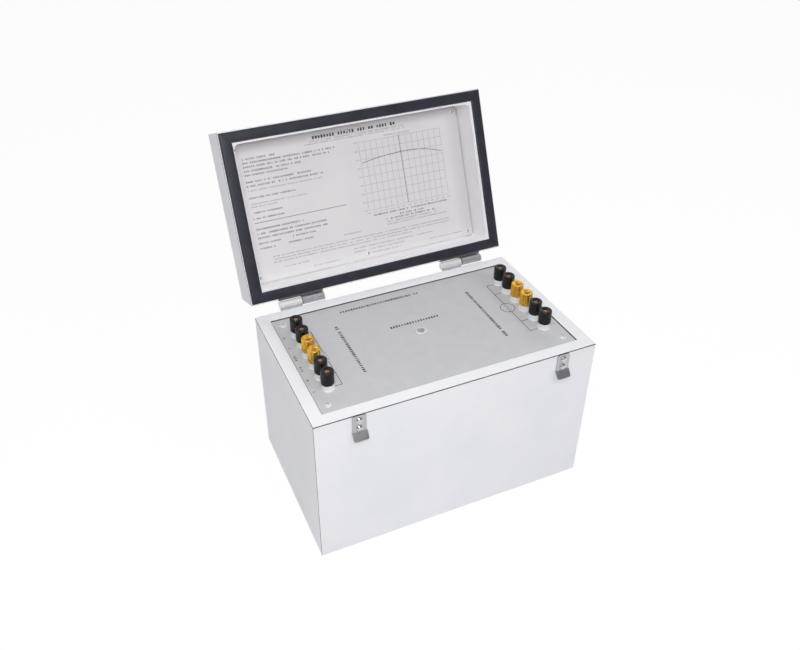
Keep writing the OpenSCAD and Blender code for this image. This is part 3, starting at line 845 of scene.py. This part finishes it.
HINGE_X = (-101.0, 104.0)
HINGE_HALF_W = 53.5 / 2
LEAF_T = 1.6
# How far the leaves reach from the pin, and the gap from the hinge's middle to each half's edge
LEAF_REACH = 10.0
HALVES_GAP = 0.6
# How far the case's plates stop below the rim, and how far the fold reaches in and out
RIM_GAP = 0.3
FOLD_IN = 1.4
FOLD_OUT = 1.5
FOLD_HALF_T = 0.4
BACK = CASE_D / 2

# Beside the other half's knuckle each hinge plate runs on to the rim, and the lid's plate is folded
# over the edge of the lid's rim
case_edges = []
lid_edges = []
for x in HINGE_X:
    left = x - HINGE_HALF_W
    right = x + HINGE_HALF_W
    case_edges.append(
        block((x + HALVES_GAP, BACK, HINGE_Z - LEAF_REACH), (right, BACK + LEAF_T, CASE_H - RIM_GAP))
    )
    lid_edges.append(block((left, BACK, LID_RIM), (x - HALVES_GAP, BACK + LEAF_T, HINGE_Z + LEAF_REACH)))
    lid_edges.append(
        block((left, BACK - FOLD_IN, LID_RIM - FOLD_HALF_T), (right, BACK + FOLD_OUT, LID_RIM + FOLD_HALF_T))
    )
case_edges = joined("case_edges", case_edges)
# The case's plate edges take the nickel painted lighter, as painted light
show("case_hinge_plate_edges", case_edges, "case_hinge_leaves", "satin", instead=False)
lid_edges = joined("lid_edges", lid_edges)
lid_edges.transform(LID)
# Painted shadow: the lid's plate edges are dark grey nickel, for the shade under the lid's rim
show("lid_hinge_plate_edges", lid_edges, "lid_hinge_leaves", "shadowed_hinge_nickel", instead=False)

PLATE_HALF = (142.7, 80.2)
PLATE_T = 1.4
PLATE_CORNER = 2.0


def plate_mesh():
    """The instruction plate: a plastic sheet with rounded corners, at the lining's ceiling."""
    half_x, half_y = PLATE_HALF
    corners = [(-half_x, -half_y), (half_x, -half_y), (half_x, half_y), (-half_x, half_y)]
    outline = rounded([(x, y, PLATE_CORNER) for x, y in corners], 6)
    sheet = bmesh.new()
    level = LID_RIM + PLATE_DEPTH
    face = sheet.faces.new([sheet.verts.new(mm(point.x, point.y, level)) for point in outline])
    lifted = bmesh.ops.extrude_face_region(sheet, geom=[face])["geom"]
    upper = [part for part in lifted if isinstance(part, bmesh.types.BMVert)]
    bmesh.ops.translate(sheet, verts=upper, vec=mm(0, 0, PLATE_T))
    bmesh.ops.recalc_face_normals(sheet, faces=sheet.faces)
    mesh = poured(sheet, "plate")
    mesh.transform(LID)
    return beveled(mesh, SHEET_EASE)


show("rounded_plate", plate_mesh(), "label_plate", "sheet")

KEEPER_X = (-112.5, 119.0)
KEEPER_TOP = CASE_H - 1.0
KEEPER_T = 1.2
KEEPER_HALF_W = 7.4
KEEPER_CORNER = 2.5
# Down the strip: where it is bent, the shoulder above the bend, and the flat just below it
BEND_AT = 20.5
SHOULDER = 0.2
BEND_FLAT = 0.3
HOOK_HALF_W = 8.1
HOOK_L = 10.0
HOOK_LEAN = math.radians(40)
HOOK_CORNER = 2.2
RIVETS_AT = (6.1, 16.2)


def quarter(radius, steps=5):
    """Steps round a quarter circle: how far along, and how far short of the full width."""
    turns = [math.pi / 2 * k / steps for k in range(steps + 1)]
    return [(radius * (1 - math.cos(turn)), radius * (1 - math.sin(turn))) for turn in turns]


def keeper_mesh(x):
    """A keeper pressed from one strip: a flat plate with rounded upper corners, and a wider hook
    with rounded lower corners that leans away from the case."""
    widths = [(along, KEEPER_HALF_W - short) for along, short in quarter(KEEPER_CORNER)]
    widths.append((BEND_AT - SHOULDER, KEEPER_HALF_W))
    widths.append((BEND_AT, HOOK_HALF_W))
    widths.append((BEND_AT + BEND_FLAT, HOOK_HALF_W))
    end = BEND_AT + HOOK_L
    widths += [(end - along, HOOK_HALF_W - short) for along, short in reversed(quarter(HOOK_CORNER))]
    strip = bmesh.new()
    rings = []
    for along, half in widths:
        past = max(along - BEND_AT, 0)
        lean = HOOK_LEAN if past else 0
        out = past * math.sin(lean)
        down = min(along, BEND_AT) + past * math.cos(lean)
        back = Vector((0, -CASE_D / 2 - out, KEEPER_TOP - down))
        front = back + Vector((0, -math.cos(lean), math.sin(lean))) * KEEPER_T
        spots = [(x - half, back), (x + half, back), (x + half, front), (x - half, front)]
        rings.append([strip.verts.new(mm(across, spot.y, spot.z)) for across, spot in spots])
    wrapped(strip, rings)
    return beveled(poured(strip, "keeper"), FITTING_EASE)


show("pressed_keepers", joined("keepers", [keeper_mesh(x) for x in KEEPER_X]), "latch_keepers", "zinc")

RIVET_R = 3.6
RIVET_H = 2.4
SHANK_R = 1.5
SHANK_L = 6.0
# The outline stops just short of the axis, so that no face of the turned skin loses its area
ON_AXIS = 0.01
RIVET_OUTLINE = [
    (ON_AXIS, -SHANK_L, 0.0),
    (SHANK_R, -SHANK_L, 0.0),
    (SHANK_R, 0.0, 0.0),
    (RIVET_R, 0.0, 0.15),
    (RIVET_R - 0.1, RIVET_H / 3, 0.4),
    (2.5, RIVET_H - 0.5, 0.9),
    (ON_AXIS, RIVET_H, 0.0),
]
rivet = turned(RIVET_OUTLINE, 40, "nickel")
rivet.transform(Matrix.Rotation(math.pi / 2, 4, "X"))
rivet_face = -CASE_D / 2 - KEEPER_T
rivet_spots = [(x, rivet_face, KEEPER_TOP - down) for x in KEEPER_X for down in RIVETS_AT]
show("domed_rivets", scattered(rivet, rivet_spots, "nickel"), "keeper_rivets")


# Print on the panel and the plate

PRINT_T = 0.08
# A letter's width and the distance to the next one, as shares of its height
LETTER_WIDTH = 0.62
LETTER_PITCH = 0.86


def ruled(lines, width, finish):
    """Printed lines of a width in millimetres, lying flat."""
    return grown(RULED, wires(lines), finish, {"Width": width * MM, "Thickness": PRINT_T * MM})


def lettered(rows, height, finish, seed, gaps=0.16):
    """Rows of stand-in print, with letters of a height in millimetres and a share of gaps."""
    sizes = {
        "Letter height": height * MM,
        "Letter width": LETTER_WIDTH * height * MM,
        "Pitch": LETTER_PITCH * height * MM,
        "Thickness": PRINT_T * MM,
        "Gaps": gaps,
        "Seed": seed,
    }
    return grown(ROWS, wires(rows), finish, sizes)


def printed(name, meshes, place, node_name):
    """Joins flat print into one piece and lays it in its place on a node."""
    whole = bmesh.new()
    materials = []
    for mesh in meshes:
        first = len(whole.faces)
        whole.from_mesh(mesh)
        whole.faces.ensure_lookup_table()
        # The first slot of a mesh that nodes have made may be empty
        ink = next(held for held in mesh.materials if held)
        if ink not in materials:
            materials.append(ink)
        for face in whole.faces[first:]:
            face.material_index = materials.index(ink)
    bmesh.ops.recalc_face_normals(whole, faces=whole.faces)
    mesh = poured(whole, name)
    for ink in materials:
        mesh.materials.append(ink)
    mesh.transform(place)
    show(name, mesh, node_name, instead=False)


def level_rows(*rows):
    """Rows that lie level, each given by its two ends and its height."""
    return [[(start, y), (end, y)] for start, end, y in rows]


def steps_between(ends, count):
    """Places from one end to the other, in equal steps."""
    return [ends[0] + (ends[1] - ends[0]) * k / count for k in range(count + 1)]


def circle(x, y, radius, count=40):
    """A closed ring of points."""
    turns = steps_between((0, 2 * math.pi), count)
    return [(x + radius * math.cos(t), y + radius * math.sin(t)) for t in turns]


def zigzag(x, half, swing, count=6):
    """A resistor's sign on an upright line, which reaches a half height above y = 0 and below."""
    points = [(x, half)]
    for k in range(count):
        side = swing if k % 2 == 0 else -swing
        points.append((x + side, half - 2 * half * (k + 0.5) / count))
    points.append((x, -half))
    return points


# A bracket beside each row of posts leads to the sign of what the posts connect
BRACKETS = (-110.3, 109.1)
BRACKET_STOP = 118.2
SIGN_HALF = 8.5
SIGN_SWINGS = (2.6, 1.9)
SIGN_RING_R = 8.3
# The posts that the lines of a bracket lead to, and those of them that are marked plus
BRACKET_POSTS = (1, 5, 2, 6)
PLUS_POSTS = (1, 5)
MARK_X = -140.6
MARK_HALF = 1.4
GOLD_MARK_HALF = 3.2
DOT = (139.0, -46.9)
DOT_R = 0.35

panel_lines = [circle(BRACKETS[1], 0, SIGN_RING_R), circle(*DOT, DOT_R, 10)]
for x, swing in zip(BRACKETS, SIGN_SWINGS):
    stop = math.copysign(BRACKET_STOP, x)
    panel_lines += level_rows(*((x, stop, post_y(number)) for number in BRACKET_POSTS))
    panel_lines.append([(x, post_y(1)), (x, SIGN_HALF)])
    panel_lines.append([(x, -SIGN_HALF), (x, post_y(POST_COUNT))])
    panel_lines.append(zigzag(x, SIGN_HALF, swing))
panel_lines += level_rows(*((MARK_X - MARK_HALF, MARK_X + MARK_HALF, post_y(n)) for n in BRACKET_POSTS))
for number in PLUS_POSTS:
    y = post_y(number)
    panel_lines.append([(MARK_X, y - MARK_HALF), (MARK_X, y + MARK_HALF)])
panel_rows = level_rows((-67, 28, 68.2), (-27, 29, 18.3))
panel_rows.append([(-82.0, 43.7), (-82.0, -41.8)])
panel_rows.append([(81.4, 45.6), (81.4, -44.0)])
gold_marks = []
for number in GOLD_POSTS:
    y = post_y(number)
    gold_marks.append([(MARK_X, y + GOLD_MARK_HALF), (MARK_X, y - GOLD_MARK_HALF)])
printed(
    "panel_print",
    [
        ruled(panel_lines, 0.7, "ink"),
        lettered(panel_rows, 3.8, "ink", 3, 0.1),
        lettered(gold_marks, 2.6, "ink", 5, 0.0),
    ],
    PANEL,
    "top_panel",
)

# Rows of the plate's print, with x to the right and y up to the lid's free edge, from its middle
heading_rows = level_rows((-43.6, 58.6, 73.2))
bold_rows = level_rows(
    (-130, -93, 62.7),
    (-130, -106, 58.2),
    (-130, -112, 53.8),
    (-130, -92, 48.9),
    (-130, -100, 44.4),
    (-130, -54, 36.7),
    (-130, -39.5, 32.0),
    (-129, -69, -18.0),
    (-129, -45.7, -23.3),
    (-129, -45.5, -28.2),
)
light_rows = level_rows(
    (-104, -17, 58.2),
    (-110, -28, 53.8),
    (-90, -64, 48.9),
    (-98, -81, 44.4),
    (-130, -76, 18.4),
    (-130, -95, 1.3),
    (-130, -94, -5.4),
    (-129, -104, -34.5),
    (-88, -61, -33.5),
    (-94, -65, -39.9),
    (-129, -112, -40.6),
    (14, 113, -30.0),
    (50, 80, -34.3),
    (31, 95, -37.8),
)
faint_rows = level_rows(
    (-49, 71, 69.0),
    (-56, 71, 66.4),
    (-130, -41.5, 26.8),
    (-130, -63, 11.4),
    (-130, -100, 8.2),
    (44, 77, 61.2),
    (31, 97, -41.2),
    (31, 110, -44.4),
    (-26, -5, -45.6),
    (-116, 112, -52.6),
    (-116, 112, -56.0),
    (-116, 60, -59.4),
    (-105, -75, -66.8),
    (-69, -36, -73.6),
    (-17, 89, -64.8),
    (-17, 48, -69.0),
    (6, 43, -73.8),
    (84, 128, -73.2),
)
# The graph: its sides, its cells across and up, and the figures left of it and below it
GRAPH_X = (9.8, 117.2)
GRAPH_Y = (-23.2, 58.2)
CELLS = (14, 8)
FIGURES_LEFT = (4.6, 7.6)
FIGURES_BELOW = -26.4
FIGURE_HALF = 1.5
across_graph = steps_between(GRAPH_X, CELLS[0])
up_graph = steps_between(GRAPH_Y, CELLS[1])
grid_lines = [[(x, GRAPH_Y[0]), (x, GRAPH_Y[1])] for x in across_graph]
grid_lines += level_rows(*((*GRAPH_X, y) for y in up_graph))
figure_rows = level_rows(*((*FIGURES_LEFT, y) for y in up_graph))
figure_rows += level_rows(*((x - FIGURE_HALF, x + FIGURE_HALF, FIGURES_BELOW) for x in across_graph))
AXIS_X = 62.2
AXIS_TOP = 59.5
heavy_lines = [[(AXIS_X, GRAPH_Y[0]), (AXIS_X, AXIS_TOP)]] + level_rows((-130, -17.4, -10.5))
# The curve's peak, as a share of its length and a height, and how steeply it falls on each side
CURVE_START = GRAPH_X[0] + 1
CURVE_LENGTH = 105
PEAK_AT = 0.56
PEAK_Y = 39.0
FALL_BEFORE = 17
FALL_AFTER = 44
curve = []
for share in steps_between((0, 1), 24):
    fall = FALL_BEFORE if share < PEAK_AT else FALL_AFTER
    curve.append((CURVE_START + CURVE_LENGTH * share, PEAK_Y - fall * (share - PEAK_AT) ** 2))
printed(
    "plate_print",
    [
        lettered(heading_rows, 4.0, "ink", 21, 0.12),
        lettered(bold_rows, 2.4, "print", 22),
        lettered(light_rows, 2.2, "print", 23),
        lettered(faint_rows, 1.7, "faint", 24, 0.13),
        lettered(figure_rows, 1.5, "faint", 25, 0.0),
        ruled(grid_lines, 0.35, "faint"),
        ruled(heavy_lines, 0.55, "ink"),
        ruled([curve], 0.6, "ink"),
    ],
    PLATE,
    "label_plate",
)


# Floor, light and camera


def seen_rays(tree):
    """1 for what the camera sees, straight on or in metal and clear things, and 0 for light."""
    ray = add(tree, "ShaderNodeLightPath").outputs
    mirrored = maths(tree, "MAXIMUM", ray["Is Glossy Ray"], ray["Is Transmission Ray"])
    return maths(tree, "MAXIMUM", ray["Is Camera Ray"], mirrored)


FLOOR_REACH = 8.0
# The camera sees this share of the floor as even white, and the rest with its shadow
FLOOR_WHITE = 0.92
FLOOR_GLOW = 1.02


def floor():
    """A plain pale floor, which shows the camera only a light shadow."""
    mesh = bpy.data.meshes.new("floor")
    corners = [(x * FLOOR_REACH, y * FLOOR_REACH, 0) for x, y in ((-1, -1), (1, -1), (1, 1), (-1, 1))]
    mesh.from_pydata(corners, [], [(0, 1, 2, 3)])
    material = bpy.data.materials.new("pale_floor")
    material.use_nodes = True
    tree = material.node_tree
    tree.nodes.clear()
    matt = add(tree, "ShaderNodeBsdfDiffuse", {"Color": colour("#F4F4F6")})
    white = add(tree, "ShaderNodeEmission", {"Color": (1, 1, 1, 1), "Strength": FLOOR_GLOW})
    share = maths(tree, "MULTIPLY", seen_rays(tree), FLOOR_WHITE)
    mix = add(tree, "ShaderNodeMixShader", {0: share, 1: matt.outputs[0], 2: white.outputs[0]})
    add(tree, "ShaderNodeOutputMaterial", {"Surface": mix.outputs[0]})
    mesh.materials.append(material)
    ground = bpy.data.objects.new("floor", mesh)
    bpy.context.scene.collection.objects.link(ground)


# How bright the studio is on each side of the object: the axis, its sign and the level
STUDIO = {
    "left": (0, -1.0, 0.22),
    "right": (0, 1.0, 0.35),
    "front": (1, -1.0, 0.2),
    "back": (1, 1.0, 0.6),
    "up": (2, 1.0, 0.4),
}
# The backdrop comes in over this range of the way that a ray goes back
BACKDROP_FROM = -0.2
BACKDROP_FULL = 0.4


def studio():
    """A room whose walls and ceiling light the object, each by its own level, and the white
    backdrop behind the object that the camera sees."""
    world = bpy.context.scene.world or bpy.data.worlds.new("studio")
    bpy.context.scene.world = world
    world.use_nodes = True
    tree = world.node_tree
    tree.nodes.clear()
    way = add(tree, "ShaderNodeTexCoord").outputs["Generated"]
    parts = add(tree, "ShaderNodeSeparateXYZ", {0: way}).outputs
    total = 0.0
    for axis, sign, brightness in STUDIO.values():
        faced = maths(tree, "MULTIPLY", parts[axis], sign)
        squared = maths(tree, "POWER", maths(tree, "MAXIMUM", faced, 0.0), 2.0)
        total = maths(tree, "MULTIPLY_ADD", squared, brightness, total)
    beyond = rising(tree, parts[1], BACKDROP_FROM, BACKDROP_FULL)
    ray = add(tree, "ShaderNodeLightPath").outputs["Is Camera Ray"]
    behind = maths(tree, "MULTIPLY", seen_rays(tree), beyond)
    white = maths(tree, "MAXIMUM", behind, ray)
    strength = add(tree, "ShaderNodeMix", {"Factor": white, "A": total, "B": 1.0}, data_type="FLOAT")
    back = add(tree, "ShaderNodeBackground", {"Color": (1, 1, 1, 1), "Strength": strength.outputs[0]})
    add(tree, "ShaderNodeOutputWorld", {"Surface": back.outputs[0]})


LAMP_TARGET = Vector((0, 0, 0.15))


def softbox(name, place, size, power, mirrored=True):
    """A square soft lamp. One that isn't mirrored leaves no highlight on gloss and metal."""
    data = bpy.data.lights.new(name, "AREA")
    data.shape = "SQUARE"
    data.size = size
    data.energy = power
    lamp = bpy.data.objects.new(name, data)
    lamp.location = place
    lamp.visible_glossy = mirrored
    lamp.rotation_mode = "QUATERNION"
    lamp.rotation_quaternion = (LAMP_TARGET - Vector(place)).to_track_quat("-Z", "Y")
    bpy.context.scene.collection.objects.link(lamp)


# The camera was solved from the corners of the case and the lid
CAMERA_PLACE = (-0.319848, -0.630553, 0.713612)
CAMERA_TURN = 0.390079
CAMERA_TILT = 0.603938
CAMERA_ROLL = -0.016830
CAMERA_LENS = 36.3440
CAMERA_SHIFT = (0.03899, -0.03124)


def camera():
    """The photograph's view."""
    ahead = Vector(
        (
            math.sin(CAMERA_TURN) * math.cos(CAMERA_TILT),
            math.cos(CAMERA_TURN) * math.cos(CAMERA_TILT),
            -math.sin(CAMERA_TILT),
        )
    )
    right = ahead.cross(Vector(Z_AXIS)).normalized()
    up = right.cross(ahead)
    cosine, sine = math.cos(CAMERA_ROLL), math.sin(CAMERA_ROLL)
    rolled_right = right * cosine + up * sine
    rolled_up = up * cosine - right * sine
    data = bpy.data.cameras.new("camera")
    data.sensor_width = 36
    data.lens = CAMERA_LENS
    data.shift_x, data.shift_y = CAMERA_SHIFT
    data.clip_start = 0.05
    data.clip_end = 50
    eye = bpy.data.objects.new("camera", data)
    turn = Matrix((rolled_right, rolled_up, -ahead)).transposed().to_4x4()
    eye.matrix_world = Matrix.Translation(CAMERA_PLACE) @ turn
    bpy.context.scene.collection.objects.link(eye)
    bpy.context.scene.camera = eye


floor()
studio()
softbox("camera_side_light", (-0.33, -0.62, 0.9), 0.35, 4.7)
softbox("right_light", (1.0, -1.5, 1.6), 0.8, 9.0, mirrored=False)
softbox("top_light", (0.0, -0.1, 2.4), 1.2, 9.0, mirrored=False)
camera()
bpy.context.scene.view_settings.view_transform = "Standard"
